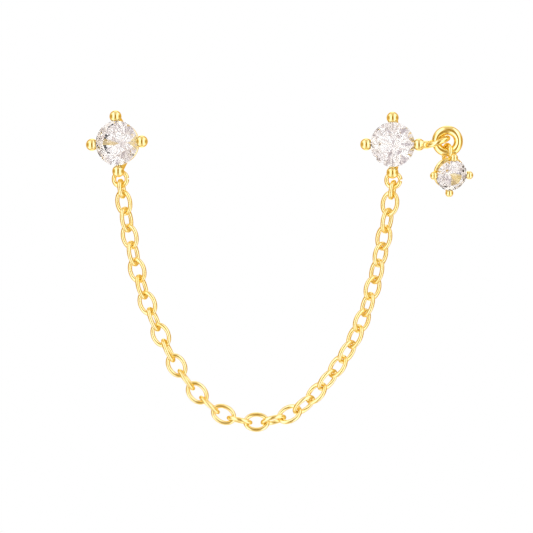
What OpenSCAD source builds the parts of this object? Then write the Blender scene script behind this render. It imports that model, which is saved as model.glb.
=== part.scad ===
// Ear chain earring: two claw-set studs joined by a hanging cable chain, with a small claw-set
// drop on a ring at the right stud's side. Millimetres. X runs from the left stud to the right
// one, -Y is the way the stones face and Z is up. The origin is where the left post meets the ear.

/* [Studs] */
// Distance between the two ear posts
stud_span = 18.88; // [17:0.02:21]
// Height of the right post above the left one
stud_rise = 0; // [-1:0.05:1]
// Turn of the left stone's face to the right
left_turn = -18; // [-20:1:20]
// Forward tip of the left stone's face
left_tip = -3; // [-6:1:6]
// Anticlockwise roll of the left setting, seen from the front
left_roll = 4; // [-6:1:6]
// Turn of the right stone's face to the right
right_turn = -12; // [-20:1:20]
// Forward tip of the right stone's face
right_tip = 0; // [-6:1:6]
// Diameter of an ear post
post_d = 0.8; // [0.6:0.05:1]
// Length of an ear post from the ear's front to its end
post_l = 9; // [6:0.5:12]
// Diameter of the wide end of a post's tapered foot, in the setting's base
foot_d = 1; // [0.9:0.02:1.1]
// How far the foot keeps the edge of the turned base off the ear
foot_clear = 0.05; // [0.03:0.01:0.15]

/* [Stones] */
// Diameter of a stud's stone
stone_d = 3.1; // [2.6:0.1:3.6]
// Diameter of the drop's stone
drop_stone_d = 2.2; // [2:0.05:2.6]
// Table of a stone, in percent of its diameter
table_pct = 57; // [52:1:64]
// Slope of the crown's main facets
crown_slope = 34.5; // [31:0.5:37]
// Slope of the pavilion's main facets
pavilion_slope = 41; // [39:0.5:43]
// Thickness of a stone's girdle
girdle_t = 0.06; // [0.04:0.01:0.1]

/* [Stud settings] */
// Diameter of a claw's bead
bead_d = 0.84; // [0.78:0.02:0.9]
// Diameter of a claw's stem
stem_d = 0.62; // [0.5:0.02:0.66]
// How far a claw's bead reaches in over the girdle, in percent of the bead's diameter
bead_lap_pct = 15; // [8:1:18]
// Depth of the setting behind the girdle
basket_h = 1.85; // [1.75:0.05:2.2]
// Diameter of the base
base_d = 1.9; // [1.7:0.05:2.2]
// Thickness of the base
base_t = 0.3; // [0.25:0.01:0.4]
// Thickness of the gallery rail's wire
rail_wire = 0.22; // [0.18:0.02:0.26]
// Outer diameter of the gallery rail
rail_d = 2.86; // [2.76:0.02:2.96]
// Depth of the gallery rail behind the girdle
rail_drop = 0.6; // [0.5:0.05:0.8]

/* [Drop setting] */
// Diameter of a small claw's bead
drop_bead_d = 0.56; // [0.5:0.02:0.6]
// Diameter of a small claw's stem
drop_stem_d = 0.42; // [0.36:0.02:0.46]
// Depth of the drop's setting behind the girdle
drop_basket_h = 1.35; // [1.3:0.05:1.6]
// Diameter of the drop's base
drop_base_d = 1.24; // [1.2:0.02:1.5]
// Thickness of the drop's base
drop_base_t = 0.24; // [0.2:0.01:0.3]
// Thickness of the drop's rail wire
drop_rail_wire = 0.28; // [0.22:0.02:0.3]
// Outer diameter of the drop's rail
drop_rail_d = 2.26; // [2.1:0.02:2.4]
// Depth of the drop's rail behind the girdle
drop_rail_drop = 0.56; // [0.5:0.02:0.66]
// Turn of the drop's face to the right
drop_turn = 18; // [-30:1:30]
// Forward tip of the drop's face as it hangs
drop_tip = 19; // [12:1:26]

/* [Rings and loops] */
// Wire of the eye below each stud
eye_wire = 0.32; // [0.28:0.01:0.34]
// Outer diameter of that eye
eye_d = 1.28; // [1.22:0.02:1.36]
// Depth of the eye behind the girdle
eye_drop = 0.35; // [0.3:0.01:0.45]
// Depth to which an eye or loop sinks into the metal it is soldered to
solder_bite = 0.08; // [0.06:0.01:0.13]
// Width of the eye's seam
seam_w = 0.05; // [0.04:0.01:0.08]
// Wire of a jump ring
jump_wire = 0.32; // [0.28:0.01:0.34]
// Turn of the left jump ring out of the line of sight
left_jump_turn = 11; // [-20:1:20]
// Turn of the right jump ring out of the line of sight
right_jump_turn = -14; // [-20:1:20]
// Wire of the side loop on the right stud
loop_wire = 0.4; // [0.36:0.01:0.44]
// Outer diameter of the side loop
loop_d = 1.8; // [1.74:0.02:1.9]
// Upward tilt of the side loop
loop_tilt = 19; // [8:1:24]
// Twist of the side loop about its own length
loop_twist = 13; // [8:1:20]
// Diameter of the neck between the right claw and the side loop
neck_d = 0.54; // [0.46:0.02:0.6]
// Length of that neck outside the claw
neck_l = 0.04; // [0.02:0.02:0.2]
// Wire of the drop's ring
drop_ring_wire = 0.62; // [0.56:0.02:0.64]
// Outer diameter of the drop's ring
drop_ring_d = 2.14; // [2.1:0.02:2.3]
// Turn of the drop's ring to the right
drop_ring_turn = -8; // [-20:1:10]
// Wire of the drop's bail
bail_wire = 0.32; // [0.28:0.01:0.34]
// Depth of the bail behind the drop's girdle
bail_drop = 1.24; // [1.14:0.02:1.3]

/* [Chain] */
// Number of links
link_count = 33; // [31:1:37]
// Length of a link
link_l = 1.84; // [1.7:0.01:1.96]
// Width of a link
link_w = 1.38; // [1.3:0.02:1.46]
// Wire of a link
link_wire = 0.3; // [0.26:0.01:0.33]

/* [Fits] */
// Gap between wires that hang on each other
hang_gap = 0.04; // [0.03:0.005:0.06]
// Gap between a stone and its seat
seat_gap = 0.02; // [0.015:0.005:0.03]
// Play of the wires inside a jump ring
ring_play = 0.16; // [0.1:0.02:0.24]
// Play of the drop's ring inside the bail
bail_play = 0.12; // [0.11:0.01:0.16]

/* [Hidden] */
$fn = 48;

gold = [0.95, 0.74, 0.34];
crystal = [0.93, 0.93, 0.95];

// A stone's facet corners: the stars' points lie halfway out on the crown, and the lower
// halves reach this share of the way from the girdle to the culet.
star_reach = 0.5;
lower_half_reach = 0.77;
facets = 8;
facet_step = 360 / facets;
half_step = facet_step / 2;

// A link's mesh: sections round its oval and sides round its wire.
link_sections = 16;
wire_sides = 6;

// Route of the hanging chain from the left eye to the right one. Columns are the share of the way
// across and the share of the chain's depth, which is worked out from its links.
route = [
    [0, 0],
    [0.03, 0.21],
    [0.075, 0.43],
    [0.14, 0.62],
    [0.225, 0.8],
    [0.355, 0.955],
    [0.495, 1],
    [0.63, 0.96],
    [0.73, 0.86],
    [0.835, 0.695],
    [0.905, 0.51],
    [0.955, 0.285],
    [1, 0],
];
route_steps = 10;

// Slow turning of the chain's links about its own line: columns are the share of the way
// along the chain and the angle by which the odd links' faces are rolled there.
roll_table = [
    [0.00, 34],
    [0.20, 20],
    [0.34, 2],
    [0.42, -2],
    [0.52, -22],
    [0.60, -44],
    [0.72, -46],
    [0.83, -62],
    [0.91, -46],
    [1.00, -28],
];

function link_name(i) = str("chain_link_", i < 10 ? "0" : "", i);

// Turning of a setting: its face looks along -Y, then it is rolled, tipped forward and turned.
function roll_z(v, a) = [v.x * cos(a) - v.y * sin(a), v.x * sin(a) + v.y * cos(a), v.z];
function roll_x(v, a) = [v.x, v.y * cos(a) - v.z * sin(a), v.y * sin(a) + v.z * cos(a)];
function face_to(v, turn, tip, roll) = roll_z(roll_x(roll_z(v, roll), 90 + tip), turn);

module face_towards(turn, tip, roll) {
    rotate([0, 0, turn])
        rotate([90 + tip, 0, 0])
            rotate([0, 0, roll])
                children();
}

// Claw of a setting: radius of its bead's centre and of its root, and its axis at a depth.
function claw_r(d, bead) = d / 2 + bead * (0.5 - bead_lap_pct / 100);
function root_r(base, stem) = base / 2 - stem / 2;
function claw_lean(d, bead, base, stem, h) = atan((claw_r(d, bead) - root_r(base, stem)) / h);
function claw_axis_r(d, bead, base, stem, h, drop) =
    claw_r(d, bead) - drop * tan(claw_lean(d, bead, base, stem, h));

// The foot of a post is as long as the turned base's edge stands back, and a little more.
function foot_l(turn, tip) = base_d / 2 * sin(acos(cos(turn) * cos(tip))) + foot_clear;

// Places of the two studs: the middle of each base's back and the centre of each girdle.
left_root = [0, -foot_l(left_turn, left_tip), 0];
right_root = [stud_span, -foot_l(right_turn, right_tip), stud_rise];
left_c = left_root + face_to([0, 0, basket_h], left_turn, left_tip, left_roll);
right_c = right_root + face_to([0, 0, basket_h], right_turn, right_tip, 0);

// The eye below each stud.
eye_r = (eye_d - eye_wire) / 2;
stud_axis_at_eye = claw_axis_r(stone_d, bead_d, base_d, stem_d, basket_h, eye_drop);
eye_y = stud_axis_at_eye + stem_d / 2 + eye_wire / 2 - solder_bite + eye_r;
eye_low = [0, -eye_y - eye_r, -eye_drop];
left_hook = left_c + face_to(eye_low, left_turn, left_tip, left_roll);
right_hook = right_c + face_to(eye_low, right_turn, right_tip, 0);

// Distances between the centres of wires that hang on each other.
eye_reach = (eye_wire + jump_wire) / 2 + hang_gap;
end_reach = (jump_wire + link_wire) / 2 + hang_gap;
link_reach = link_wire + hang_gap;
jump_r = (eye_wire + link_wire + ring_play + jump_wire) / 2;

// Run of each element of the chain, from one contact to the next.
jump_run = 2 * jump_r - (eye_reach + end_reach) / 2;
end_run = link_l - link_wire - (end_reach + link_reach) / 2;
link_run = link_l - link_wire - link_reach;
chain_run = 2 * jump_run + 2 * end_run + (link_count - 2) * link_run;

// Arc length from the left eye to contact i: 0 is at the eye and 1 at the first link.
function contact_at(i) =
    i == 0 ? 0 :
    i == 1 ? jump_run :
    i <= link_count ? jump_run + end_run + (i - 2) * link_run :
    i == link_count + 1 ? chain_run - jump_run :
    chain_run;

// Smooth curve through the route's points, in shares, with an equal number of steps between them.
route_top = len(route) - 1;
function bend(a, b, c, d, t) =
    b + t * ((c - a) / 2 + t * (a - 2.5 * b + 2 * c - d / 2 + t * (1.5 * (b - c) + (d - a) / 2)));
function route_at(i, t) =
    bend(
        i == 0 ? 2 * route[0] - route[1] : route[i - 1],
        route[i],
        route[i + 1],
        i == route_top - 1 ? 2 * route[route_top] - route[route_top - 1] : route[i + 2],
        t
    );
shares = concat(
    [for (i = [0 : route_top - 1]) for (j = [0 : route_steps - 1]) route_at(i, j / route_steps)],
    [route[route_top]]
);
share_top = len(shares) - 1;

// The curve in the plane between the two eyes, for a chain of a given depth.
hang_from = left_hook + [0, 0, eye_reach / 2];
hang_to = right_hook + [0, 0, eye_reach / 2];
hang_dir = hang_to - hang_from;
hang_w = norm([hang_dir.x, hang_dir.y]);
hang_turn = atan2(hang_dir.y, hang_dir.x);

function hang_at(k, depth) =
    [shares[k].x * hang_w, shares[k].x * hang_dir.z - shares[k].y * depth];
function length_to(k, depth, sum = 0) =
    k == 0 ? sum :
    length_to(k - 1, depth, sum + norm(hang_at(k, depth) - hang_at(k - 1, depth)));

// The depth at which the curve is as long as the chain.
solve_steps = 40;
function solve_depth(low, high, steps) =
    let (mid = (low + high) / 2)
    steps == 0 ? mid :
    length_to(share_top, mid) < chain_run ? solve_depth(mid, high, steps - 1) :
    solve_depth(low, mid, steps - 1);
depth = solve_depth(0, chain_run, solve_steps);
across_along = [for (k = [0 : share_top]) [length_to(k, depth), hang_at(k, depth)[0]]];
height_along = [for (k = [0 : share_top]) [length_to(k, depth), hang_at(k, depth)[1]]];

function hang_point(s) =
    hang_from + roll_z([lookup(s, across_along), 0, lookup(s, height_along)], hang_turn);

// Element i of the hang: 0 is the left jump ring, 1 the first link and so on.
function reach_at(i) =
    i == 0 || i == link_count + 2 ? eye_reach :
    i == 1 || i == link_count + 1 ? end_reach :
    link_reach;
function element_start(i) = hang_point(contact_at(i));
function element_end(i) = hang_point(contact_at(i + 1));
function element_dir(i) =
    let (v = element_end(i) - element_start(i))
    v / norm(v);
function element_c(i) =
    (element_start(i) + element_end(i)) / 2 + element_dir(i) * (reach_at(i + 1) - reach_at(i)) / 4;

module hang_element(i, roll) {
    d = element_dir(i);
    translate(element_c(i))
        rotate([0, 0, hang_turn])
            rotate([0, -atan2(d.z, norm([d.x, d.y])), 0])
                rotate([90 + roll, 0, 0])
                    children();
}

// The side loop, the ring on it and the drop's bail.
loop_r = (loop_d - loop_wire) / 2;
loop_start = claw_r(stone_d, bead_d) + bead_d / 2 + neck_l + loop_wire / 2;
loop_c = [loop_start, 0, 0] + roll_z([loop_r, 0, 0], loop_tilt);
loop_tip = loop_c + roll_z([loop_r, 0, 0], loop_tilt);
drop_ring_r = (drop_ring_d - drop_ring_wire) / 2;
drop_ring_hole_r = drop_ring_r - drop_ring_wire / 2;
drop_ring_c = right_c + face_to(loop_tip, right_turn, right_tip, 0)
    - [0, 0, drop_ring_hole_r - loop_wire / 2 - hang_gap];
bail_skew = drop_turn - drop_ring_turn;
bail_r = (drop_ring_wire + bail_wire) / 2 / cos(bail_skew) + bail_play;
bail_c = drop_ring_c - [0, 0, drop_ring_hole_r - bail_wire / 2 - hang_gap + bail_r];

// The bail stands behind the top claw, below the stone's point. It is sunk into the claw's stem
// and the base as far as the ring's room above the stem allows.
drop_lean = claw_lean(drop_stone_d, drop_bead_d, drop_base_d, drop_stem_d, drop_basket_h);
bail_room = drop_ring_wire + hang_gap + bail_play;
bail_off = drop_stem_d / 2 + bail_room + bail_wire / 2 - bail_r;
bail_y = claw_r(drop_stone_d, drop_bead_d) + (bail_off - bail_drop * sin(drop_lean)) / cos(drop_lean);
bail_local = [0, bail_y, -bail_drop];
drop_c = bail_c - face_to(bail_local, drop_turn, drop_tip, 0);

module ring(r, wire) {
    rotate_extrude()
        translate([r, 0])
            circle(d = wire);
}

// Point j round the wire at section i of an oval in the XY plane: a and b are half the length
// and half the width of its centre line.
function oval_point(a, b, wire, i, j) =
    let (at = 360 * i / link_sections)
    let (out = [b * cos(at), a * sin(at)] / norm([b * cos(at), a * sin(at)]))
    let (round_at = 360 * j / wire_sides)
    let (side = wire / 2 * cos(round_at))
    [a * cos(at) + out.x * side, b * sin(at) + out.y * side, wire / 2 * sin(round_at)];

module oval(a, b, wire) {
    m = wire_sides;
    n = link_sections;
    points = [for (i = [0 : n - 1]) for (j = [0 : m - 1]) oval_point(a, b, wire, i, j)];
    faces = [
        for (i = [0 : n - 1])
            for (j = [0 : m - 1])
                let (i2 = (i + 1) % n, j2 = (j + 1) % m)
                    [i * m + j, i * m + j2, i2 * m + j2, i2 * m + j]
    ];
    polyhedron(points, faces);
}

// Round brilliant cut. The girdle lies on the XY plane and the table faces +Z.
module brilliant(d) {
    r = d / 2;
    rt = r * table_pct / 100;
    crown_h = (r - rt) * tan(crown_slope);
    pavilion_h = r * tan(pavilion_slope);
    rs = rt + (r - rt) * star_reach;
    rl = r * (1 - lower_half_reach);
    top = girdle_t / 2;
    star_z = top + crown_h * (r - rs * cos(half_step)) / (r - rt);
    lower_z = -top - pavilion_h * (r - rl * cos(half_step)) / r;
    table = [for (k = [0 : facets - 1]) concat(r_point(rt, facet_step * k), top + crown_h)];
    stars = [for (k = [0 : facets - 1]) concat(r_point(rs, facet_step * k + half_step), star_z)];
    upper = [for (k = [0 : 2 * facets - 1]) concat(r_point(r, half_step * k), top)];
    lower = [for (k = [0 : 2 * facets - 1]) concat(r_point(r, half_step * k), -top)];
    lows = [for (k = [0 : facets - 1]) concat(r_point(rl, facet_step * k + half_step), lower_z)];
    culet = [[0, 0, -top - pavilion_h]];
    n = facets;
    t0 = 0;
    s0 = n;
    u0 = 2 * n;
    l0 = 4 * n;
    p0 = 6 * n;
    c0 = 7 * n;
    faces = concat(
        [[for (k = [n - 1 : -1 : 0]) t0 + k]],
        [for (k = [0 : n - 1]) [t0 + k, t0 + (k + 1) % n, s0 + k]],
        [for (k = [0 : n - 1]) [t0 + k, s0 + k, u0 + 2 * k, s0 + (k + n - 1) % n]],
        [for (k = [0 : n - 1]) [s0 + k, u0 + 2 * k + 1, u0 + 2 * k]],
        [for (k = [0 : n - 1]) [s0 + k, u0 + (2 * k + 2) % (2 * n), u0 + 2 * k + 1]],
        [for (k = [0 : 2 * n - 1]) [u0 + k, u0 + (k + 1) % (2 * n), l0 + (k + 1) % (2 * n), l0 + k]],
        [for (k = [0 : n - 1]) [p0 + k, l0 + 2 * k, l0 + 2 * k + 1]],
        [for (k = [0 : n - 1]) [p0 + k, l0 + 2 * k + 1, l0 + (2 * k + 2) % (2 * n)]],
        [for (k = [0 : n - 1]) [c0, p0 + (k + n - 1) % n, l0 + 2 * k, p0 + k]]
    );
    polyhedron(concat(table, stars, upper, lower, lows, culet), faces);
}

function r_point(r, a) = [r * cos(a), r * sin(a)];

// Space that a stone takes in its setting, with the seat's gap all round.
module stone_space(d) {
    r = d / 2 + seat_gap;
    top = girdle_t / 2 + seat_gap;
    crown_h = r * tan(crown_slope);
    pavilion_h = r * tan(pavilion_slope);
    rotate_extrude()
        polygon([[0, -top - pavilion_h], [r, -top], [r, top], [0, top + crown_h]]);
}

module claw(d, bead, stem, base, h) {
    lean = claw_lean(d, bead, base, stem, h);
    lift = stem / 2 * sin(lean);
    foot = claw_axis_r(d, bead, base, stem, h, h - lift);
    translate([foot, 0, lift - h])
        rotate([0, lean, 0])
            cylinder(h = (h - lift) / cos(lean), d = stem);
    translate([claw_r(d, bead), 0, 0])
        sphere(d = bead);
}

// Claws, rail and base. The stone's girdle lies on the XY plane and faces +Z.
module basket(d, bead, stem, base, t, h, rail_od, wire, drop) {
    bevel = t / 4;
    difference() {
        union() {
            for (k = [0 : 3])
                rotate([0, 0, 90 * k])
                    claw(d, bead, stem, base, h);
            translate([0, 0, -drop])
                ring((rail_od - wire) / 2, wire);
            translate([0, 0, -h])
                rotate_extrude()
                    polygon([
                        [0, 0],
                        [base / 2 - bevel, 0],
                        [base / 2, bevel],
                        [base / 2, t - bevel],
                        [base / 2 - bevel, t],
                        [0, t],
                    ]);
        }
        stone_space(d);
    }
}

module stud_basket() {
    basket(stone_d, bead_d, stem_d, base_d, base_t, basket_h, rail_d, rail_wire, rail_drop);
}

// Eye in the plane of the face, with its seam on the right.
module eye() {
    seam = seam_w / eye_r * 180 / PI;
    translate([0, -eye_y, -eye_drop])
        rotate([0, 0, seam / 2])
            rotate_extrude(angle = 360 - seam)
                translate([eye_r, 0])
                    circle(d = eye_wire);
}

// Ear post along +Y with a bevelled end, on a foot that starts inside the base and narrows to the
// post's own diameter at Y = 0.
module post(root) {
    bevel = post_d / 5;
    start = -root.y + base_t / 2;
    translate([root.x, 0, root.z])
        rotate([-90, 0, 0])
            rotate_extrude()
                polygon([
                    [0, -start],
                    [foot_d / 2, -start],
                    [post_d / 2, 0],
                    [post_d / 2, post_l - bevel],
                    [post_d / 2 - bevel, post_l],
                    [0, post_l],
                ]);
}

module side_loop() {
    translate([claw_r(stone_d, bead_d), 0, 0])
        rotate([0, 90, 0])
            cylinder(h = bead_d / 2 + neck_l + loop_wire / 2, d = neck_d);
    translate(loop_c)
        rotate([0, 0, loop_tilt])
            rotate([90 + loop_twist, 0, 0])
                ring(loop_r, loop_wire);
}

module left_setting() {
    color(gold) {
        translate(left_c)
            face_towards(left_turn, left_tip, left_roll) {
                stud_basket();
                eye();
            }
        post(left_root);
    }
}

module left_stone() {
    color(crystal)
        translate(left_c)
            face_towards(left_turn, left_tip, left_roll)
                brilliant(stone_d);
}

module right_setting() {
    color(gold) {
        translate(right_c)
            face_towards(right_turn, right_tip, 0) {
                stud_basket();
                eye();
                side_loop();
            }
        post(right_root);
    }
}

module right_stone() {
    color(crystal)
        translate(right_c)
            face_towards(right_turn, right_tip, 0)
                brilliant(stone_d);
}

module left_jump_ring() {
    color(gold)
        hang_element(0, 90 + left_jump_turn)
            ring(jump_r, jump_wire);
}

module right_jump_ring() {
    color(gold)
        hang_element(link_count + 1, 90 + right_jump_turn)
            ring(jump_r, jump_wire);
}

// Link i counts from the left: each is rolled a quarter turn from the last, plus the slow turning.
module chain_link(i) {
    roll = lookup((i - 1) / (link_count - 1), roll_table);
    quarter = i % 2 == 1 ? 0 : 90;
    color(gold)
        hang_element(i, roll + quarter)
            oval((link_l - link_wire) / 2, (link_w - link_wire) / 2, link_wire);
}

module drop_ring() {
    color(gold)
        translate(drop_ring_c)
            face_towards(drop_ring_turn, 0, 0)
                ring(drop_ring_r, drop_ring_wire);
}

module drop_setting() {
    color(gold)
        translate(drop_c)
            face_towards(drop_turn, drop_tip, 0) {
                basket(drop_stone_d, drop_bead_d, drop_stem_d, drop_base_d, drop_base_t,
                    drop_basket_h, drop_rail_d, drop_rail_wire, drop_rail_drop);
                translate(bail_local)
                    rotate([0, 90, 0])
                        ring(bail_r, bail_wire);
            }
}

module drop_stone() {
    color(crystal)
        translate(drop_c)
            face_towards(drop_turn, drop_tip, 0)
                brilliant(drop_stone_d);
}

left_setting();
left_stone();
right_setting();
right_stone();
left_jump_ring();
right_jump_ring();
for (i = [1 : link_count])
    chain_link(i);
drop_ring();
drop_setting();
drop_stone();
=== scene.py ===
"""Dresses the ear chain earring: claw settings, cut stones, rings and an oval cable chain.

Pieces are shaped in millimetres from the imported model's own places and stored in metres. X runs
from the left stud to the right one, -Y is the way the stones face and Z is up.
"""
import math

import bmesh
import bpy
import numpy as np
from bpy.props import FloatProperty, FloatVectorProperty, IntProperty, PointerProperty
from bpy.types import Operator, Panel, PropertyGroup
from mathutils import Matrix, Vector


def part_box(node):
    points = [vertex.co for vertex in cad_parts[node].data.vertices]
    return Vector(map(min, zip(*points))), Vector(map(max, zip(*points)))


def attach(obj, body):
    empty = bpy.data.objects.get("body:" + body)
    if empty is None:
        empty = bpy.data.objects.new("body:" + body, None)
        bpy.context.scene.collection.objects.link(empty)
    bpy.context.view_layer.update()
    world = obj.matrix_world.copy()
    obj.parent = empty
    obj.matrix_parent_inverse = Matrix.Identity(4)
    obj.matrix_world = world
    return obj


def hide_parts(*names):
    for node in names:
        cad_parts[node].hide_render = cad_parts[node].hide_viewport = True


bl_info = {
    "name": "Ear chain earring",
    "version": (1, 0, 0),
    "blender": (4, 5, 0),
    "location": "3D View > Sidebar > Ear chain",
    "description": "Dresses the settings, stones, rings and chain of an ear chain earring",
    "category": "Object",
}

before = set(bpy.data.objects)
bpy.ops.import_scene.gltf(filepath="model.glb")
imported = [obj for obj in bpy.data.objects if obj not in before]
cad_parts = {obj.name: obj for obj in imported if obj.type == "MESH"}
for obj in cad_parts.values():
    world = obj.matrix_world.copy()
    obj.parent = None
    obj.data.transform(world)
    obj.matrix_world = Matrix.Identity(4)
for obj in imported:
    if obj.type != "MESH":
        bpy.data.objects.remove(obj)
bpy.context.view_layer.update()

MM = 0.001
BODY = "root"
STONES = ["left_stone", "right_stone", "drop_stone"]
RINGS = ["left_jump_ring", "right_jump_ring", "drop_ring"]
LINKS = sorted(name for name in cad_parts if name.startswith("chain_link_"))

QUARTER = math.radians(90)


def size(name, default, about, low=0.0, high=100.0):
    """A number that a user may change. A length is in millimetres."""
    return FloatProperty(
        name=name, description=about, default=default, min=low, max=high, precision=3
    )


def angle(name, degrees, about):
    """An angle that a user may change, given in degrees and stored in radians."""
    return FloatProperty(
        name=name, description=about, default=math.radians(degrees), subtype="ANGLE"
    )


def colour(name, default, about):
    """A colour that a user may change."""
    return FloatVectorProperty(
        name=name, description=about, default=default, size=3, min=0.0, max=1.0, subtype="COLOR"
    )


class EARCHAIN_PG_cut(PropertyGroup):
    """How the stones are cut."""

    table: size("Table", 0.57, "Width of the table as a share of the stone's diameter", 0.5, 0.7)
    crown_slope: angle("Crown slope", 34.5, "Slope of the crown's main facets")
    pavilion_slope: angle("Pavilion slope", 41, "Slope of the pavilion's main facets")
    girdle: size("Girdle", 0.06, "Thickness of the girdle where it is widest", 0.02, 0.2)
    star_reach: size("Star reach", 0.5, "How far out on the crown the stars' points lie", 0.3, 0.7)
    half_reach: size("Lower halves", 0.77, "How far the lower halves reach to the culet", 0.6, 0.9)
    girdle_sides: IntProperty(
        name="Girdle sides", description="Flat strips round the girdle", default=64, min=32, max=128
    )
    seat_gap: size("Seat gap", 0.02, "Gap between a stone and its seat", 0.005, 0.05)


class EARCHAIN_PG_setting(PropertyGroup):
    """Sizes of one claw setting."""

    bead: size("Bead", 0.84, "Diameter of a claw's bead")
    stem: size("Stem", 0.62, "Diameter of a claw's stem")
    lap: size("Lap", 15.0, "Reach of a bead in over the girdle, in percent of its diameter")
    height: size("Height", 1.85, "Depth of the setting behind the girdle")
    base: size("Base", 1.9, "Diameter of the base")
    base_t: size("Base thickness", 0.3, "Thickness of the base")
    rail: size("Rail", 2.86, "Outer diameter of the gallery rail")
    rail_wire: size("Rail wire", 0.22, "Thickness of the gallery rail")
    rail_drop: size("Rail drop", 0.6, "Depth of the gallery rail behind the girdle")
    grain: size("Grain", 0.032, "Fineness of the cast surface's mesh", 0.01, 0.1)


class EARCHAIN_PG_fittings(PropertyGroup):
    """Sizes of what is soldered to the settings."""

    post: size("Post", 0.8, "Diameter of an ear post")
    foot: size("Foot", 1.0, "Diameter of the wide end of an ear post's tapered foot")
    eye: size("Eye", 1.28, "Outer diameter of the eye below a stud")
    eye_wire: size("Eye wire", 0.32, "Wire of the eye")
    eye_drop: size("Eye drop", 0.35, "Depth of the eye behind the girdle")
    bite: size("Solder bite", 0.08, "How far an eye sinks into the claw")
    loop: size("Side loop", 1.8, "Outer diameter of the side loop")
    loop_wire: size("Side loop wire", 0.4, "Wire of the side loop")
    loop_tilt: angle("Side loop tilt", 19, "Upward tilt of the side loop")
    loop_twist: angle("Side loop twist", 8, "Twist of the side loop about its own length")
    neck: size("Neck", 0.54, "Diameter of the neck between the claw and the side loop")
    neck_l: size("Neck length", 0.04, "Length of the neck outside the claw")
    bail_wire: size("Bail wire", 0.32, "Wire of the drop's bail")
    bail_drop: size("Bail drop", 1.24, "Depth of the bail behind the drop's girdle")
    bail_play: size("Bail play", 0.12, "Play of the ring inside the bail")
    hang_gap: size("Hang gap", 0.04, "Gap between wires that hang on each other")


class EARCHAIN_PG_chain(PropertyGroup):
    """Sizes of a chain link."""

    length: size("Length", 1.84, "Length of a link")
    width: size("Width", 1.38, "Width of a link")
    wire: size("Wire", 0.3, "Wire of a link")
    sections: IntProperty(
        name="Sections", description="Sections round a link", default=56, min=16, max=96
    )
    sides: IntProperty(name="Sides", description="Sides round the wire", default=18, min=6, max=32)


class EARCHAIN_PG_finish(PropertyGroup):
    """Colours and polish."""

    gold_light: colour("Light gold", (1.0, 0.84, 0.40), "Gold where the plating is brightest")
    gold_deep: colour("Deep gold", (0.99, 0.80, 0.31), "Gold where the plating is deepest")
    polish: size("Polish", 0.12, "Roughness of the polished gold", 0.0, 1.0)
    wire_light: colour("Light wire", (1.0, 0.86, 0.44), "Gold where the wire is brightest")
    wire_deep: colour("Deep wire", (1.0, 0.8, 0.32), "Gold where the wire is deepest")
    tumbled: size("Tumbled", 0.2, "Roughness of the tumbled wire", 0.0, 1.0)
    stone_tint: colour("Stone", (1.0, 0.99, 0.99), "Colour of the clear stones")
    stone_ior: size("Refraction", 1.9, "Index of refraction of the stones", 1.3, 2.6)


class EARCHAIN_PG_stage(PropertyGroup):
    """Floor, light and camera."""

    floor_z: size("Floor", -60.0, "Height of the floor", -500.0, 0.0)
    floor_r: size("Floor radius", 6000.0, "Radius of the floor", 100.0, 20000.0)
    distance: size("Distance", 204.0, "Distance of the camera", 50.0, 1000.0)
    field: size("Field", 37.08, "Width that the camera sees at the earring", 10.0, 100.0)
    elevation: angle("Elevation", 4, "Height of the camera above the horizon")
    aim: FloatVectorProperty(
        name="Aim", description="Point that the camera looks at, in millimetres",
        default=(9.777, -1.45, -8.501), size=3, subtype="XYZ",
    )


class EARCHAIN_PG_all(PropertyGroup):
    """All the settings of the earring."""

    cut: PointerProperty(type=EARCHAIN_PG_cut)
    stud: PointerProperty(type=EARCHAIN_PG_setting)
    drop: PointerProperty(type=EARCHAIN_PG_setting)
    fittings: PointerProperty(type=EARCHAIN_PG_fittings)
    chain: PointerProperty(type=EARCHAIN_PG_chain)
    finish: PointerProperty(type=EARCHAIN_PG_finish)
    stage: PointerProperty(type=EARCHAIN_PG_stage)


# The drop's setting, where it differs from a stud's.
DROP_SIZES = {
    "bead": 0.56,
    "stem": 0.42,
    "height": 1.35,
    "base": 1.24,
    "base_t": 0.24,
    "rail": 2.26,
    "rail_wire": 0.28,
    "rail_drop": 0.56,
    "grain": 0.024,
}


# Places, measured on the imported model


# Corners of a stone that reach this share of its radius belong to the girdle.
GIRDLE_REACH = 0.995
# Faces of a stone whose direction has less than this along Y may be its table.
TABLE_FACING = -0.5


def node_points(name):
    """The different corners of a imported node, in millimetres."""
    corners = {tuple(round(c / MM, 4) for c in v.co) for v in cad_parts[name].data.vertices}
    return np.array(sorted(corners))


def stone_place(name):
    """Where a stone sits: its girdle's centre, its axes (right, up, outward) and its diameter."""
    areas = {}
    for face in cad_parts[name].data.polygons:
        key = tuple(round(c, 3) for c in face.normal)
        areas[key] = areas.get(key, 0.0) + face.area
    outward = np.array(max((k for k in areas if k[1] < TABLE_FACING), key=areas.get))
    outward /= np.linalg.norm(outward)
    points = node_points(name)
    middle = points.mean(axis=0)
    away = points - middle
    away -= np.outer(away @ outward, outward)
    reach = np.linalg.norm(away, axis=1)
    girdle = reach > reach.max() * GIRDLE_REACH
    centre = points[girdle].mean(axis=0)
    spokes = away[girdle] / reach[girdle][:, None]
    right = spokes[spokes[:, 0].argmax()]
    up = np.cross(outward, right)
    axes = Matrix((right, up, outward)).transposed()
    return Vector(centre), axes, 2 * reach.max()


def ring_place(name):
    """Centre of a packed ring or link, and its wide, long and thick directions as columns."""
    points = node_points(name)
    centre = points.mean(axis=0)
    _, axes = np.linalg.eigh(np.cov((points - centre).T))
    thick, wide, long = axes[:, 0], axes[:, 1], axes[:, 2]
    if np.dot(np.cross(wide, long), thick) < 0:
        thick = -thick
    return Vector(centre), Matrix((wide, long, thick)).transposed()


def ring_thickness(name):
    """How thick a packed round ring's wire is."""
    _, axes = ring_place(name)
    across = node_points(name) @ np.array(axes.col[2])
    return across.max() - across.min()


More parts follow.
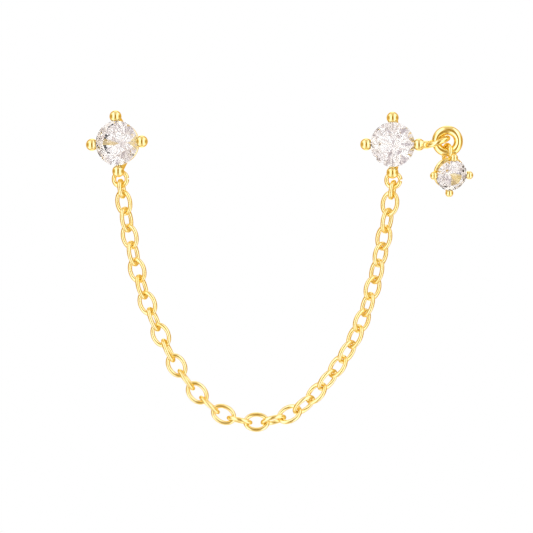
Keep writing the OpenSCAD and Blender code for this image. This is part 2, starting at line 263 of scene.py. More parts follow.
def heading(direction):
    """Angle about Z from the way the stones face to a direction."""
    return math.atan2(direction.x, -direction.y)


def placed(centre, axes):
    """Matrix that carries a shape from its own axes to its place."""
    return Matrix.Translation(centre) @ axes.to_4x4()


# Shapes, in millimetres

# Edges that meet at more than this stay sharp.
SHARP = math.radians(40)
# The softening that runs solder and castings together.
POLISH_FACTOR = 0.5
POLISH_STEPS = 4
# Corners round a ring, and round its wire.
RING_STEPS = 72
RING_SIDES = 20


def lathe(bm, profile, sides, place):
    """Turns a profile of (radius, height) pairs round the Z axis. Radius 0 closes an end."""
    rings = []
    for r, z in profile:
        if r == 0:
            rings.append([bm.verts.new(place @ Vector((0, 0, z)))])
            continue
        turn = [2 * math.pi * i / sides for i in range(sides)]
        spots = [Vector((r * math.cos(a), r * math.sin(a), z)) for a in turn]
        rings.append([bm.verts.new(place @ spot) for spot in spots])
    for low, high in zip(rings, rings[1:]):
        for i in range(sides):
            j = (i + 1) % sides
            if len(low) == 1:
                bm.faces.new((low[0], high[j], high[i]))
            elif len(high) == 1:
                bm.faces.new((low[i], low[j], high[0]))
            else:
                bm.faces.new((low[i], low[j], high[j], high[i]))


def ball(radius, steps):
    """Profile of a ball, from its lowest point to its highest."""
    arc = [math.pi * (i / steps - 0.5) for i in range(1, steps)]
    waist = [(radius * math.cos(a), radius * math.sin(a)) for a in arc]
    return [(0, -radius), *waist, (0, radius)]


def tube(bm, points, radius, sides, place, closed):
    """Sweeps a round wire along points. A closed one meets its start, an open one is capped."""
    count = len(points)
    spots = [Vector(p) for p in points]

    def along(i):
        before = spots[(i - 1) % count] if closed or i > 0 else spots[i]
        after = spots[(i + 1) % count] if closed or i < count - 1 else spots[i]
        return (after - before).normalized()

    normal = along(0).orthogonal().normalized()
    rings = []
    for i, spot in enumerate(spots):
        direction = along(i)
        normal = (normal - direction * normal.dot(direction)).normalized()
        side = direction.cross(normal)
        rings.append([])
        for j in range(sides):
            a = 2 * math.pi * j / sides
            out = normal * math.cos(a) + side * math.sin(a)
            rings[-1].append(bm.verts.new(place @ (spot + out * radius)))
    pairs = list(zip(rings, rings[1:]))
    if closed:
        pairs.append((rings[-1], rings[0]))
    for low, high in pairs:
        for i in range(sides):
            j = (i + 1) % sides
            bm.faces.new((low[i], low[j], high[j], high[i]))
    if not closed:
        bm.faces.new(tuple(reversed(rings[0])))
        bm.faces.new(tuple(rings[-1]))


def ring(bm, radius, wire, place, seam=0.0, step=0.0):
    """A round ring in the XY plane. A seam opens it on its right, where its ends part by a step."""
    points = []
    for i in range(RING_STEPS + 1 if seam else RING_STEPS):
        share = i / RING_STEPS
        a = seam / 2 + (2 * math.pi - seam) * share
        points.append((radius * math.cos(a), radius * math.sin(a), step * (share - 0.5)))
    tube(bm, points, wire / 2, RING_SIDES, place, closed=not seam)


def tidy_mesh(bm, name):
    """Turns all faces outward and stores the shape as a mesh."""
    bmesh.ops.recalc_face_normals(bm, faces=bm.faces)
    mesh = bpy.data.meshes.new(name)
    bm.to_mesh(mesh)
    bm.free()
    return mesh


def new_object(name, data):
    """A new object in the scene: a mesh, a light or a camera."""
    piece = bpy.data.objects.new(name, data)
    bpy.context.scene.collection.objects.link(piece)
    return piece


def settle(piece, material, *nodes):
    """Gives a piece its material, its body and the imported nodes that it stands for."""
    piece.data.materials.clear()
    piece.data.materials.append(material)
    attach(piece, BODY)
    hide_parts(*nodes)


def plain_copy(piece, name):
    """The evaluated mesh of a piece, with its modifiers applied."""
    bpy.context.view_layer.update()
    graph = bpy.context.evaluated_depsgraph_get()
    mesh = bpy.data.meshes.new_from_object(piece.evaluated_get(graph), depsgraph=graph)
    mesh.name = name
    return mesh


def cast(name, parts, seat, grain):
    """Mesh in metres of one cast piece: closed shells that overlap, run together, less the seat."""
    rough = new_object(name + "_rough", tidy_mesh(parts, name + "_rough"))
    cutter = new_object(name + "_cutter", tidy_mesh(seat, name + "_cutter"))
    fuse = rough.modifiers.new("Fuse", "REMESH")
    fuse.mode = "VOXEL"
    fuse.voxel_size = grain
    smooth = rough.modifiers.new("Polish", "SMOOTH")
    smooth.factor = POLISH_FACTOR
    smooth.iterations = POLISH_STEPS
    cut = rough.modifiers.new("Seat", "BOOLEAN")
    cut.operation = "DIFFERENCE"
    cut.solver = "EXACT"
    cut.object = cutter
    mesh = plain_copy(rough, name)
    for helper in (rough, cutter):
        bpy.data.objects.remove(helper)
    mesh.transform(Matrix.Scale(MM, 4))
    mesh.polygons.foreach_set("use_smooth", [True] * len(mesh.polygons))
    mesh.set_sharp_from_angle(angle=SHARP)
    mesh.update()
    return mesh


# Settings. Here s holds the sizes of one setting, f those of the fittings, and stone is the
# diameter of the stone. All but the post is built about the girdle's centre, with Z outward.

# Corners round each turned shape.
BEAD_STEPS = 24
BEAD_SIDES = 40
STEM_SIDES = 32
NECK_SIDES = 32
BASE_SIDES = 48
POST_SIDES = 64
SEAT_SIDES = 96
# Bevels, as shares of the base's thickness and of the post's diameter.
BASE_BEVEL = 1 / 4
POST_BEVEL = 1 / 5
# How far the trimmed claws hold over the stone's edge.
CLAW_GRIP = 0.03
# How much further out each claw stands: right, top, left and bottom.
STUD_SPREAD = (0.0, 0.0, 0.0, 0.1)
DROP_SPREAD = (0.0, 0.0, 0.0, 0.0)
# The open seam of each stud's eye, in radians, and the step between its two ends.
EYE_SEAMS = {"left": (0.12, 0.0), "right": (0.17, 0.2)}


def claw_reach(stone, s):
    """How far from the axis the centre of a claw's bead lies."""
    return stone / 2 + s.bead * (0.5 - s.lap / 100)


def claw_lean(stone, s):
    """Angle between a claw and the setting's axis."""
    return math.atan((claw_reach(stone, s) - (s.base - s.stem) / 2) / s.height)


def claw_axis(stone, s, drop):
    """How far from the axis a claw's own axis lies at a depth."""
    return claw_reach(stone, s) - drop * math.tan(claw_lean(stone, s))


def add_claws(bm, stone, s, place, spread):
    """Four leaning claws with round beads, each set further out by its own spread."""
    lean = claw_lean(stone, s)
    lift = s.stem / 2 * math.sin(lean)
    length = (s.height - lift) / math.cos(lean)
    stem = [(0, -length), (s.stem / 2, -length), (s.stem / 2, 0), (0, 0)]
    for k, further in enumerate(spread):
        quarter = place @ Matrix.Rotation(k * QUARTER, 4, "Z")
        reach = claw_reach(stone, s) + further
        top = quarter @ Matrix.Translation((reach, 0, 0)) @ Matrix.Rotation(lean, 4, "Y")
        lathe(bm, ball(s.bead / 2, BEAD_STEPS), BEAD_SIDES, top)
        lathe(bm, stem, STEM_SIDES, top)


def add_basket(bm, stone, s, place, spread):
    """Claws, gallery rail and base of a setting."""
    add_claws(bm, stone, s, place, spread)
    rail = place @ Matrix.Translation((0, 0, -s.rail_drop))
    ring(bm, (s.rail - s.rail_wire) / 2, s.rail_wire, rail)
    bevel = s.base_t * BASE_BEVEL
    r = s.base / 2
    profile = [
        (0, 0),
        (r - bevel, 0),
        (r, bevel),
        (r, s.base_t - bevel),
        (r - bevel, s.base_t),
        (0, s.base_t),
    ]
    lathe(bm, profile, BASE_SIDES, place @ Matrix.Translation((0, 0, -s.height)))


def seat_cutter(stone, cut, place):
    """The space that a stone takes in its setting."""
    bm = bmesh.new()
    r = stone / 2 + cut.seat_gap
    top = cut.girdle / 2 + cut.seat_gap
    grip = r - CLAW_GRIP
    profile = [
        (0, -top - r * math.tan(cut.pavilion_slope)),
        (r, -top),
        (r, top),
        (grip, top + CLAW_GRIP * math.tan(cut.crown_slope)),
        (grip, 2 * r),
        (0, 2 * r),
    ]
    lathe(bm, profile, SEAT_SIDES, place)
    return bm


def add_eye(bm, stone, s, f, place, seam, step):
    """The eye soldered below a stud's bottom claw."""
    radius = (f.eye - f.eye_wire) / 2
    down = claw_axis(stone, s, f.eye_drop) + s.stem / 2 + f.eye_wire / 2 - f.bite + radius
    ring(bm, radius, f.eye_wire, place @ Matrix.Translation((0, -down, -f.eye_drop)), seam, step)


def add_post(bm, f, s, centre, axes, node):
    """Ear post along +Y, from its foot, which starts inside the base, to where the node ends."""
    root = centre - axes.col[2] * s.height
    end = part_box(node)[1][1] / MM
    lay = Matrix.Translation((root.x, 0, root.z)) @ Matrix.Rotation(-QUARTER, 4, "X")
    start = root.y - s.base_t / 2
    r = f.post / 2
    bevel = f.post * POST_BEVEL
    foot = [(0, start), (f.foot / 2, start), (r, 0)]
    profile = [*foot, (r, end - bevel), (r - bevel, end), (0, end)]
    lathe(bm, profile, POST_SIDES, lay)


def add_side_loop(bm, stone, s, f, place):
    """The loop that carries the drop's ring, on a short neck from the right claw."""
    reach = claw_reach(stone, s)
    neck_end = s.bead / 2 + f.neck_l + f.loop_wire / 2
    neck = [(0, 0), (f.neck / 2, 0), (f.neck / 2, neck_end), (0, neck_end)]
    lay = place @ Matrix.Translation((reach, 0, 0)) @ Matrix.Rotation(QUARTER, 4, "Y")
    lathe(bm, neck, NECK_SIDES, lay)
    radius = (f.loop - f.loop_wire) / 2
    tilt = Matrix.Rotation(f.loop_tilt, 4, "Z")
    centre = Vector((reach + neck_end, 0, 0)) + tilt @ Vector((radius, 0, 0))
    turn = Matrix.Rotation(QUARTER + f.loop_twist, 4, "X")
    ring(bm, radius, f.loop_wire, place @ Matrix.Translation(centre) @ tilt @ turn)


def add_bail(bm, stone, s, f, place, skew, ring_wire):
    """The bail behind the drop's top claw. The ring passes through it at a skew angle."""
    radius = (ring_wire + f.bail_wire) / 2 / math.cos(skew) + f.bail_play
    lean = claw_lean(stone, s)
    room = ring_wire + f.hang_gap + f.bail_play
    off = s.stem / 2 + room + f.bail_wire / 2 - radius
    up = claw_reach(stone, s) + (off - f.bail_drop * math.sin(lean)) / math.cos(lean)
    lay = place @ Matrix.Translation((0, up, -f.bail_drop)) @ Matrix.Rotation(QUARTER, 4, "Y")
    ring(bm, radius, f.bail_wire, lay)


# Stones

# Main facets round the crown, and as many below it.
MAINS = 8
# Faces whose directions differ by less than this are one, on the blank and on the cut stone.
BLANK_FLAT = 0.001
STONE_FLAT = 0.002
# Corners nearer than this to a cutting plane lie on it, and corners this near are one.
PLANE_NEAR = 1e-6
CORNERS_NEAR = 1e-4


def cut_stone(name, d, cut):
    """Round brilliant cut: a round blank with one plane cut for each facet, in millimetres.

    The radii r, rt, rs and rl are those of the girdle, the table, the stars' outer points and the
    lower halves' inner points. Steps round the stone are half a main facet each.
    """
    r = d / 2
    rt = r * cut.table
    top = cut.girdle / 2
    crown = (r - rt) * math.tan(cut.crown_slope)
    depth = r * math.tan(cut.pavilion_slope)
    half = math.pi / MAINS
    rs = rt + (r - rt) * cut.star_reach
    rl = r * (1 - cut.half_reach)
    star_z = top + crown * (r - rs * math.cos(half)) / (r - rt)
    low_z = -top - depth * (r - rl * math.cos(half)) / r

    def spot(radius, steps, z):
        return Vector((radius * math.cos(steps * half), radius * math.sin(steps * half), z))

    bm = bmesh.new()
    blank = [(0, -top - depth), (r, -top - depth), (r, top + crown), (0, top + crown)]
    lathe(bm, blank, cut.girdle_sides, Matrix.Identity(4))
    bmesh.ops.dissolve_limit(bm, angle_limit=BLANK_FLAT, verts=bm.verts, edges=bm.edges)
    planes = []
    for i in range(0, 2 * MAINS, 2):
        star, low = spot(rs, i + 1, star_z), spot(rl, i + 1, low_z)
        planes.append((spot(r, i, top), spot(rt, i, top + crown), None))
        planes.append((spot(r, i, -top), Vector((0, 0, -top - depth)), None))
        planes.append((spot(rt, i, top + crown), spot(rt, i + 2, top + crown), star))
        for j in (i, i + 2):
            planes.append((spot(r, i + 1, top), spot(r, j, top), star))
            planes.append((spot(r, i + 1, -top), spot(r, j, -top), low))
    # A main facet's plane has two points and is level across the first.
    for a, b, c in planes:
        if c is None:
            across = Vector((-a.y, a.x, 0))
            normal = (b - a).cross(across)
        else:
            normal = (b - a).cross(c - a)
        normal.normalize()
        if normal.dot(a) < 0:
            normal.negate()
        everything = bm.verts[:] + bm.edges[:] + bm.faces[:]
        made = bmesh.ops.bisect_plane(
            bm, geom=everything, dist=PLANE_NEAR, plane_co=a, plane_no=normal, clear_outer=True
        )
        edges = [part for part in made["geom_cut"] if isinstance(part, bmesh.types.BMEdge)]
        rim = [edge for edge in edges if len(edge.link_faces) == 1]
        if rim:
            bmesh.ops.edgeloop_fill(bm, edges=rim)
    bmesh.ops.remove_doubles(bm, verts=bm.verts, dist=CORNERS_NEAR)
    bmesh.ops.dissolve_limit(bm, angle_limit=STONE_FLAT, verts=bm.verts, edges=bm.edges)
    return tidy_mesh(bm, name)


def paint_facet_shades(mesh, seed):
    """Stores a painted shade for each facet, which stands in for the different light that the stone
    throws at each. The largest facet, the table, is the clearest."""
    draw = np.random.default_rng(seed)
    shade = mesh.attributes.new("painted_facet_shade", "FLOAT", "FACE")
    values = draw.random(len(mesh.polygons))
    values[max(range(len(values)), key=lambda i: mesh.polygons[i].area)] = 1.0
    shade.data.foreach_set("value", values)


# Finishes

# The gold's colour drifts slowly between two stops, under fine polishing marks.
GOLD_DRIFT = {"Scale": 1400.0, "Detail": 3.0, "Roughness": 0.55}
GOLD_STOPS = (0.35, 0.6)
GOLD_MARKS = {"Scale": 26000.0, "Detail": 2.0, "Roughness": 0.6}
MARKS_DEPTH = {"Strength": 0.02, "Distance": 0.01 * MM}
# Its least and most roughness, as shares of the finish's own.
GOLD_POLISH = (0.7, 1.5)
GOLD_EDGE = (1.0, 0.84, 0.42, 1)
# Painted shade on the clear stone's facets for the light the stone throws, up to its own colour.
PAINTED_FACET_SHADES = [
    (0.0, (0.70, 0.64, 0.62)),
    (0.25, (0.82, 0.78, 0.78)),
    (0.5, (0.92, 0.89, 0.87)),
    (0.7, (0.98, 0.97, 0.96)),
]
STONE_HAZE = {"Scale": 2500.0, "Detail": 2.0}
STONE_ROUGHNESS = 0.003
STONE_CLEARNESS = 0.96
STONE_EDGE = (0.35, 0.35, 0.35, 1)


def new_material(name):
    """A new material, its node tree and its shader."""
    material = bpy.data.materials.new(name)
    material.use_nodes = True
    tree = material.node_tree
    shader = tree.nodes["Principled BSDF"]
    return material, tree, shader


def add_node(tree, kind, inputs=None, **settings):
    """A new node with the values of its inputs and its settings."""
    node = tree.nodes.new(kind)
    for key, value in settings.items():
        setattr(node, key, value)
    for key, value in (inputs or {}).items():
        node.inputs[key].default_value = value
    return node


def maths(tree, operation, *values):
    """The result of a maths node. Each value is a number or the output of another node."""
    node = add_node(tree, "ShaderNodeMath", operation=operation)
    for socket, value in zip(node.inputs, values):
        if isinstance(value, float):
            socket.default_value = value
        else:
            tree.links.new(value, socket)
    return node.outputs[0]


def add_ramp(tree, stops):
    """A colour ramp from pairs of position and colour."""
    ramp = add_node(tree, "ShaderNodeValToRGB")
    made = ramp.color_ramp.elements
    stops = list(stops)
    while len(made) < len(stops):
        made.new(1.0)
    for stop, (position, tone) in zip(made, stops):
        stop.position = position
        stop.color = (*tone, 1)
    return ramp


def gold_material(name, light, deep, roughness):
    """Gold plating: the colour and the polish drift a little, over fine polishing marks."""
    material, tree, shader = new_material(name)
    link = tree.links.new
    place = add_node(tree, "ShaderNodeTexCoord")
    drift = add_node(tree, "ShaderNodeTexNoise", GOLD_DRIFT)
    marks = add_node(tree, "ShaderNodeTexNoise", GOLD_MARKS)
    ramp = add_ramp(tree, zip(GOLD_STOPS, (deep, light)))
    least, most = (roughness * share for share in GOLD_POLISH)
    polish = add_node(tree, "ShaderNodeMapRange", {"To Min": least, "To Max": most})
    bump = add_node(tree, "ShaderNodeBump", MARKS_DEPTH)
    link(place.outputs["Object"], drift.inputs["Vector"])
    link(place.outputs["Object"], marks.inputs["Vector"])
    link(drift.outputs["Fac"], ramp.inputs["Fac"])
    link(ramp.outputs["Color"], shader.inputs["Base Color"])
    link(marks.outputs["Fac"], polish.inputs["Value"])
    link(polish.outputs["Result"], shader.inputs["Roughness"])
    link(marks.outputs["Fac"], bump.inputs["Height"])
    link(bump.outputs["Normal"], shader.inputs["Normal"])
    shader.inputs["Metallic"].default_value = 1.0
    shader.inputs["Specular Tint"].default_value = GOLD_EDGE
    return material


def stone_material(finish):
    """Clear cut stone. Each facet has a faint painted shade for its light, and the polish is not
    quite even.
    """
    material, tree, shader = new_material("clear_stone")
    link = tree.links.new
    # Each facet's painted shade, which stands in for the light the stone throws, sets its base
    # colour.
    facet = add_node(tree, "ShaderNodeAttribute", attribute_name="painted_facet_shade")
    ramp = add_ramp(tree, [*PAINTED_FACET_SHADES, (1.0, finish.stone_tint)])
    place = add_node(tree, "ShaderNodeTexCoord")
    haze = add_node(tree, "ShaderNodeTexNoise", STONE_HAZE)
    polish = add_node(tree, "ShaderNodeMapRange", {"To Max": STONE_ROUGHNESS})
    link(facet.outputs["Fac"], ramp.inputs["Fac"])
    link(ramp.outputs["Color"], shader.inputs["Base Color"])
    link(place.outputs["Object"], haze.inputs["Vector"])
    link(haze.outputs["Fac"], polish.inputs["Value"])
    link(polish.outputs["Result"], shader.inputs["Roughness"])
    shader.inputs["Transmission Weight"].default_value = STONE_CLEARNESS
    shader.inputs["IOR"].default_value = finish.stone_ior
    shader.inputs["Specular Tint"].default_value = STONE_EDGE
    return material


def stage_material():
    """Pale floor, lit as evenly as the wall behind it."""
    material, _, shader = new_material("pale_floor")
    shader.inputs["Base Color"].default_value = (0.0, 0.0, 0.0, 1)
    shader.inputs["Specular IOR Level"].default_value = 0.0
    shader.inputs["Emission Color"].default_value = (1, 1, 1, 1)
    shader.inputs["Emission Strength"].default_value = 1.0
    return material


# Geometry Nodes for the chain


def chain_tree(material):
    """Nodes that set one oval link of round wire on each point, turned by the point's own turn."""
    tree = bpy.data.node_groups.new("oval_links", "GeometryNodeTree")
    tree.is_modifier = True
    face = tree.interface
    face.new_socket("Geometry", in_out="INPUT", socket_type="NodeSocketGeometry")
    for name in ("Length", "Width", "Wire"):
        face.new_socket(name, in_out="INPUT", socket_type="NodeSocketFloat")
    for name in ("Sections", "Sides"):
        face.new_socket(name, in_out="INPUT", socket_type="NodeSocketInt")
    face.new_socket("Geometry", in_out="OUTPUT", socket_type="NodeSocketGeometry")
    link = tree.links.new
    given = add_node(tree, "NodeGroupInput")
    made = add_node(tree, "NodeGroupOutput")

    def half_less_wire(name):
        inside = maths(tree, "SUBTRACT", given.outputs[name], given.outputs["Wire"])
        return maths(tree, "MULTIPLY", inside, 0.5)

    oval = add_node(tree, "GeometryNodeCurvePrimitiveCircle", {"Radius": 1.0}, mode="RADIUS")
    link(given.outputs["Sections"], oval.inputs["Resolution"])
    reach = add_node(tree, "ShaderNodeCombineXYZ", {"Z": 1.0})
    link(half_less_wire("Width"), reach.inputs["X"])
    link(half_less_wire("Length"), reach.inputs["Y"])
    stretch = add_node(tree, "GeometryNodeTransform")
    link(oval.outputs["Curve"], stretch.inputs["Geometry"])
    link(reach.outputs["Vector"], stretch.inputs["Scale"])
    round_wire = add_node(tree, "GeometryNodeCurvePrimitiveCircle", mode="RADIUS")
    link(given.outputs["Sides"], round_wire.inputs["Resolution"])
    link(maths(tree, "MULTIPLY", given.outputs["Wire"], 0.5), round_wire.inputs["Radius"])
    sweep = add_node(tree, "GeometryNodeCurveToMesh")
    link(stretch.outputs["Geometry"], sweep.inputs["Curve"])
    link(round_wire.outputs["Curve"], sweep.inputs["Profile Curve"])
    turn = add_node(
        tree, "GeometryNodeInputNamedAttribute", {"Name": "turn"}, data_type="FLOAT_VECTOR"
    )
    turned = add_node(tree, "FunctionNodeEulerToRotation")
    link(turn.outputs["Attribute"], turned.inputs["Euler"])
    each = add_node(tree, "GeometryNodeInstanceOnPoints")
    link(given.outputs["Geometry"], each.inputs["Points"])
    link(sweep.outputs["Mesh"], each.inputs["Instance"])
    link(turned.outputs["Rotation"], each.inputs["Rotation"])
    smooth = add_node(tree, "GeometryNodeSetShadeSmooth")
    link(each.outputs["Instances"], smooth.inputs["Geometry"])
    real = add_node(tree, "GeometryNodeRealizeInstances")
    link(smooth.outputs["Geometry"], real.inputs["Geometry"])
    coat = add_node(tree, "GeometryNodeSetMaterial", {"Material": material})
    link(real.outputs["Geometry"], coat.inputs["Geometry"])
    link(coat.outputs["Geometry"], made.inputs["Geometry"])
    return tree


def set_inputs(modifier, values):
    """Sets a Geometry Nodes modifier's inputs by their sockets' identifiers."""
    for item in modifier.node_group.interface.items_tree:
        if item.item_type == "SOCKET" and item.in_out == "INPUT" and item.name in values:
            modifier[item.identifier] = values[item.name]


# Stage

# The camera's sensor in millimetres, and the nearest and furthest that it sees in metres.
SENSOR = 36.0
CLIP = (0.01, 100.0)
FLOOR_SIDES = 96
# The room's light in front of the earring, by degrees to the side, and its brightest value.
ROOM = [
    (0, (0.42, 0.25, 0.04)),
    (11, (0.46, 0.28, 0.06)),
    (16, (0.74, 0.6, 0.38)),
    (22, (1.32, 1.38, 1.58)),
    (50, (1.32, 1.38, 1.58)),
    (60, (0.95, 0.83, 0.6)),
    (70, (0.66, 0.45, 0.16)),
    (90, (0.48, 0.29, 0.06)),
]
ROOM_TOP = 1.58
# The same behind the earring, where a pale upright strip stands.
BACK_ROOM = [
    (10, (1.3, 1.3, 1.3)),
    (18, (0.7, 0.46, 0.14)),
    (56, (0.8, 0.58, 0.26)),
    (70, (0.62, 0.4, 0.1)),
]
# How far back the light behind takes over.
BEHIND = {"From Min": 0.0, "From Max": 0.5}
# Above and below the camera the dim strip grows as light as the room is at this share of 90
# degrees to the side.
ABOVE = {"From Min": 0.2, "From Max": 0.75, "To Max": 0.185}
# The light inside the stones: a patchwork of cards, each of one even shade, and its brightest
# value.
CARDS = {"Scale": 5.0}
CARD_SHADES = [
    (0.0, (0.55, 0.49, 0.5)),
    (0.1, (0.7, 0.63, 0.6)),
    (0.26, (0.82, 0.76, 0.73)),
    (0.42, (0.9, 0.86, 0.83)),
    (0.68, (1.0, 0.98, 0.97)),
]
CARD_TOP = 1.2
# Softboxes: name, azimuth and elevation in degrees as seen from the earring, width and height in
# millimetres, and radiance. All are as far away and have the same tint.
LIGHT_DISTANCE = 350.0
SOFTBOX_TINT = (0.9, 0.95, 1.0)
SOFTBOXES = [
    ("softbox_left", -33, 6, 80, 460, 0.5),
    ("softbox_right", 33, 6, 80, 460, 0.5),
]


def room_ramp(tree, stops):
    """A ramp over a quarter turn to the side, in shares of the room's brightest light."""
    return add_ramp(tree, [(degrees / 90, [c / ROOM_TOP for c in tone]) for degrees, tone in stops])


def room_light(tree, coord):
    """A pale room. In front it is dim in an upright strip about the camera, bright on both sides of
    it and dimmer again far out. Behind the earring it has a pale strip."""
    link = tree.links.new
    parts = add_node(tree, "ShaderNodeSeparateXYZ")
    link(coord.outputs["Generated"], parts.inputs["Vector"])
    off = maths(tree, "ABSOLUTE", parts.outputs["X"])
    turn = maths(tree, "DIVIDE", maths(tree, "ARCSINE", off), QUARTER)
    over = add_node(tree, "ShaderNodeMapRange", ABOVE, interpolation_type="SMOOTHSTEP")
    link(maths(tree, "ABSOLUTE", parts.outputs["Z"]), over.inputs["Value"])
    front, back = room_ramp(tree, ROOM), room_ramp(tree, BACK_ROOM)
    link(maths(tree, "MAXIMUM", turn, over.outputs["Result"]), front.inputs["Fac"])
    link(turn, back.inputs["Fac"])
    behind = add_node(tree, "ShaderNodeMapRange", BEHIND, interpolation_type="SMOOTHSTEP")
    link(parts.outputs["Y"], behind.inputs["Value"])
    both = add_node(tree, "ShaderNodeMix", data_type="RGBA")
    link(behind.outputs["Result"], both.inputs["Factor"])
    link(front.outputs["Color"], both.inputs["A"])
    link(back.outputs["Color"], both.inputs["B"])
    room = add_node(tree, "ShaderNodeBackground", {"Strength": ROOM_TOP})
    link(both.outputs["Result"], room.inputs["Color"])
    return room.outputs["Background"]


def card_light(tree, coord):
    """What the stones let through: a patchwork of pale cards."""
    link = tree.links.new
    cards = add_node(tree, "ShaderNodeTexVoronoi", CARDS)
    link(coord.outputs["Generated"], cards.inputs["Vector"])
    card = add_node(tree, "ShaderNodeSeparateColor")
    link(cards.outputs["Color"], card.inputs["Color"])
    shades = add_ramp(tree, CARD_SHADES)
    shades.color_ramp.interpolation = "CONSTANT"
    link(card.outputs["Red"], shades.inputs["Fac"])
    through = add_node(tree, "ShaderNodeBackground", {"Strength": CARD_TOP})
    link(shades.outputs["Color"], through.inputs["Color"])
    return through.outputs["Background"]


def either(tree, share, first, second):
    """One shader, or the other where the share is 1."""
    mix = add_node(tree, "ShaderNodeMixShader")
    for socket, value in zip(mix.inputs, (share, first, second)):
        tree.links.new(value, socket)
    return mix.outputs["Shader"]


# Operators


def earring(context):
    """All the settings that a user may change."""
    return context.scene.ear_chain


def cast_gold(context):
    """The polished gold of the settings and the thick ring."""
    f = earring(context).finish
    made = bpy.data.materials.get("cast_gold")
    return made or gold_material("cast_gold", f.gold_light, f.gold_deep, f.polish)


def wire_gold(context):
    """The softer gold of the thin wire, which is tumbled, not polished."""
    f = earring(context).finish
    made = bpy.data.materials.get("wire_gold")
    return made or gold_material("wire_gold", f.wire_light, f.wire_deep, f.tumbled)


def clear(context):
    """The clear finish of the stones."""
    return bpy.data.materials.get("clear_stone") or stone_material(earring(context).finish)


class EARCHAIN_OT_stones(Operator):
    """Cuts the three round brilliant stones"""

    bl_idname = "ear_chain.make_stones"
    bl_label = "Make stones"

    def execute(self, context):
        for seed, name in enumerate(STONES):
            centre, axes, diameter = stone_place(name)
            mesh = cut_stone(name + "_cut", diameter, earring(context).cut)
            mesh.transform(Matrix.Scale(MM, 4) @ placed(centre, axes))
            # Each facet gets a painted shade that stands in for the light the stone throws.
            paint_facet_shades(mesh, seed)
            settle(new_object(name + "_cut", mesh), clear(context), name)
        return {"FINISHED"}


class EARCHAIN_OT_studs(Operator):
    """Casts the two stud settings with their eyes, posts and side loop"""

    bl_idname = "ear_chain.make_studs"
    bl_label = "Make stud settings"

    def execute(self, context):
        sizes = earring(context)
        s, f = sizes.stud, sizes.fittings
        for side, (seam, step) in EYE_SEAMS.items():
            centre, axes, stone = stone_place(side + "_stone")
            place = placed(centre, axes)
            bm = bmesh.new()
            add_basket(bm, stone, s, place, STUD_SPREAD)
            add_eye(bm, stone, s, f, place, seam, step)
            add_post(bm, f, s, centre, axes, side + "_setting")
            if side == "right":
                add_side_loop(bm, stone, s, f, place)
            seat = seat_cutter(stone, sizes.cut, place)
            mesh = cast(side + "_stud", bm, seat, s.grain)
            settle(new_object(side + "_stud", mesh), cast_gold(context), side + "_setting")
        return {"FINISHED"}


class EARCHAIN_OT_drop(Operator):
    """Casts the drop's small setting with its bail"""

    bl_idname = "ear_chain.make_drop"
    bl_label = "Make drop setting"

    def execute(self, context):
        sizes = earring(context)
        s, f = sizes.drop, sizes.fittings
        centre, axes, stone = stone_place("drop_stone")
        place = placed(centre, axes)
        _, ring_axes = ring_place("drop_ring")
        facing = ring_axes.col[2] if ring_axes.col[2].y < 0 else -ring_axes.col[2]
        skew = heading(facing) - heading(axes.col[2])
        bm = bmesh.new()
        add_basket(bm, stone, s, place, DROP_SPREAD)
        add_bail(bm, stone, s, f, place, skew, ring_thickness("drop_ring"))
        seat = seat_cutter(stone, sizes.cut, place)
        mesh = cast("drop_claws", bm, seat, s.grain)
        settle(new_object("drop_claws", mesh), cast_gold(context), "drop_setting")
        return {"FINISHED"}


class EARCHAIN_OT_rings(Operator):
    """Plates the jump rings and the drop's ring"""

    bl_idname = "ear_chain.plate_rings"
    bl_label = "Plate rings"

    def execute(self, context):
        for name in RINGS:
            gold = cast_gold(context) if name == "drop_ring" else wire_gold(context)
            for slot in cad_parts[name].material_slots:
                slot.material = gold
        return {"FINISHED"}


class EARCHAIN_OT_chain(Operator):
    """Makes the cable chain's oval links with Geometry Nodes"""

    bl_idname = "ear_chain.make_chain"
    bl_label = "Make chain"

    def execute(self, context):
        c = earring(context).chain
        places = [ring_place(name) for name in LINKS]
        mesh = bpy.data.meshes.new("chain_points")
        mesh.from_pydata([centre * MM for centre, _ in places], [], [])
        turns = mesh.attributes.new("turn", "FLOAT_VECTOR", "POINT")
        turns.data.foreach_set("vector", [a for _, axes in places for a in axes.to_euler()])
        points = new_object("chain_points", mesh)
        grow = points.modifiers.new("Links", "NODES")
        grow.node_group = chain_tree(wire_gold(context))
        lengths = {"Length": c.length * MM, "Width": c.width * MM, "Wire": c.wire * MM}
        set_inputs(grow, {**lengths, "Sections": c.sections, "Sides": c.sides})
        chain = new_object("chain", plain_copy(points, "chain"))
        bpy.data.objects.remove(points)
        settle(chain, wire_gold(context), *LINKS)
        return {"FINISHED"}


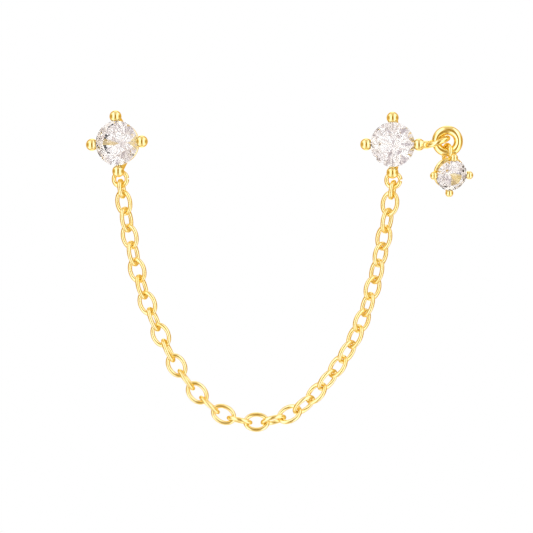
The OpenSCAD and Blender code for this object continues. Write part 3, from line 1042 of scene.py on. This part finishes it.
class EARCHAIN_OT_stage(Operator):
    """Sets up the floor, the studio light and the camera"""

    bl_idname = "ear_chain.make_stage"
    bl_label = "Make stage"

    def execute(self, context):
        st = earring(context).stage
        self.add_floor(st)
        self.add_camera(context, st)
        self.add_lights(st)
        self.add_world(context)
        context.scene.view_settings.view_transform = "Standard"
        return {"FINISHED"}

    def add_floor(self, st):
        """A wide round floor below the earring, which lights nothing."""
        bm = bmesh.new()
        middle = Matrix.Translation((st.aim[0], st.aim[1], st.floor_z))
        lathe(bm, [(0, 0), (st.floor_r, 0)], FLOOR_SIDES, middle)
        mesh = bpy.data.meshes.new("floor")
        bm.to_mesh(mesh)
        bm.free()
        mesh.transform(Matrix.Scale(MM, 4))
        mesh.materials.append(stage_material())
        floor = new_object("floor", mesh)
        floor.visible_diffuse = floor.visible_glossy = floor.visible_transmission = False

    def add_camera(self, context, st):
        """The camera at the photograph's angle, level from left to right."""
        data = bpy.data.cameras.new("camera")
        data.sensor_width = SENSOR
        data.lens = SENSOR * st.distance / st.field
        data.clip_start, data.clip_end = CLIP
        camera = new_object("camera", data)
        back = Vector((0, -math.cos(st.elevation), math.sin(st.elevation)))
        camera.location = (Vector(st.aim) + back * st.distance) * MM
        camera.rotation_euler = (QUARTER - st.elevation, 0, 0)
        context.scene.camera = camera

    def add_lights(self, st):
        """The softboxes, each facing the earring."""
        aim = Vector(st.aim)
        for name, azimuth, elevation, width, height, radiance in SOFTBOXES:
            data = bpy.data.lights.new(name, "AREA")
            data.shape = "RECTANGLE"
            data.size, data.size_y = width * MM, height * MM
            data.color = SOFTBOX_TINT
            data.energy = radiance * math.pi * data.size * data.size_y
            a, e = math.radians(azimuth), math.radians(elevation)
            out = Vector((math.sin(a) * math.cos(e), -math.cos(a) * math.cos(e), math.sin(e)))
            light = new_object(name, data)
            light.visible_transmission = False
            light.location = (aim + out * LIGHT_DISTANCE) * MM
            light.rotation_euler = out.to_track_quat("Z", "Y").to_euler()

    def add_world(self, context):
        """The room's light, the cards that only the stones' insides see, and a white backdrop."""
        world = bpy.data.worlds.new("studio")
        world.use_nodes = True
        context.scene.world = world
        tree = world.node_tree
        tree.nodes.clear()
        coord = add_node(tree, "ShaderNodeTexCoord")
        path = add_node(tree, "ShaderNodeLightPath").outputs
        white = add_node(tree, "ShaderNodeBackground", {"Color": (1, 1, 1, 1), "Strength": 1.0})
        room, cards = room_light(tree, coord), card_light(tree, coord)
        light = either(tree, path["Is Transmission Ray"], room, cards)
        shown = either(tree, path["Is Camera Ray"], light, white.outputs["Background"])
        out = add_node(tree, "ShaderNodeOutputWorld")
        tree.links.new(shown, out.inputs["Surface"])


class EARCHAIN_PT_panel(Panel):
    """Lists the steps that make the earring"""

    bl_label = "Ear chain"
    bl_space_type = "VIEW_3D"
    bl_region_type = "UI"
    bl_category = "Ear chain"

    def draw(self, context):
        sizes = earring(context)
        for step in STEPS:
            self.layout.operator(step.bl_idname)
        for group in (sizes.chain, sizes.finish, sizes.stage):
            box = self.layout.box()
            for name in group.bl_rna.properties.keys():
                if name not in ("rna_type", "name"):
                    box.prop(group, name)


STEPS = [
    EARCHAIN_OT_stage,
    EARCHAIN_OT_stones,
    EARCHAIN_OT_studs,
    EARCHAIN_OT_drop,
    EARCHAIN_OT_rings,
    EARCHAIN_OT_chain,
]
GROUPS = [
    EARCHAIN_PG_cut,
    EARCHAIN_PG_setting,
    EARCHAIN_PG_fittings,
    EARCHAIN_PG_chain,
    EARCHAIN_PG_finish,
    EARCHAIN_PG_stage,
    EARCHAIN_PG_all,
]


def register():
    for part in [*GROUPS, *STEPS, EARCHAIN_PT_panel]:
        bpy.utils.register_class(part)
    bpy.types.Scene.ear_chain = PointerProperty(type=EARCHAIN_PG_all)


def unregister():
    del bpy.types.Scene.ear_chain
    for part in reversed([*GROUPS, *STEPS, EARCHAIN_PT_panel]):
        bpy.utils.unregister_class(part)


def main():
    register()
    for name, value in DROP_SIZES.items():
        setattr(bpy.context.scene.ear_chain.drop, name, value)
    bpy.ops.ear_chain.make_stage()
    bpy.ops.ear_chain.make_stones()
    bpy.ops.ear_chain.make_studs()
    bpy.ops.ear_chain.make_drop()
    bpy.ops.ear_chain.plate_rings()
    bpy.ops.ear_chain.make_chain()


if __name__ == "__main__":
    main()
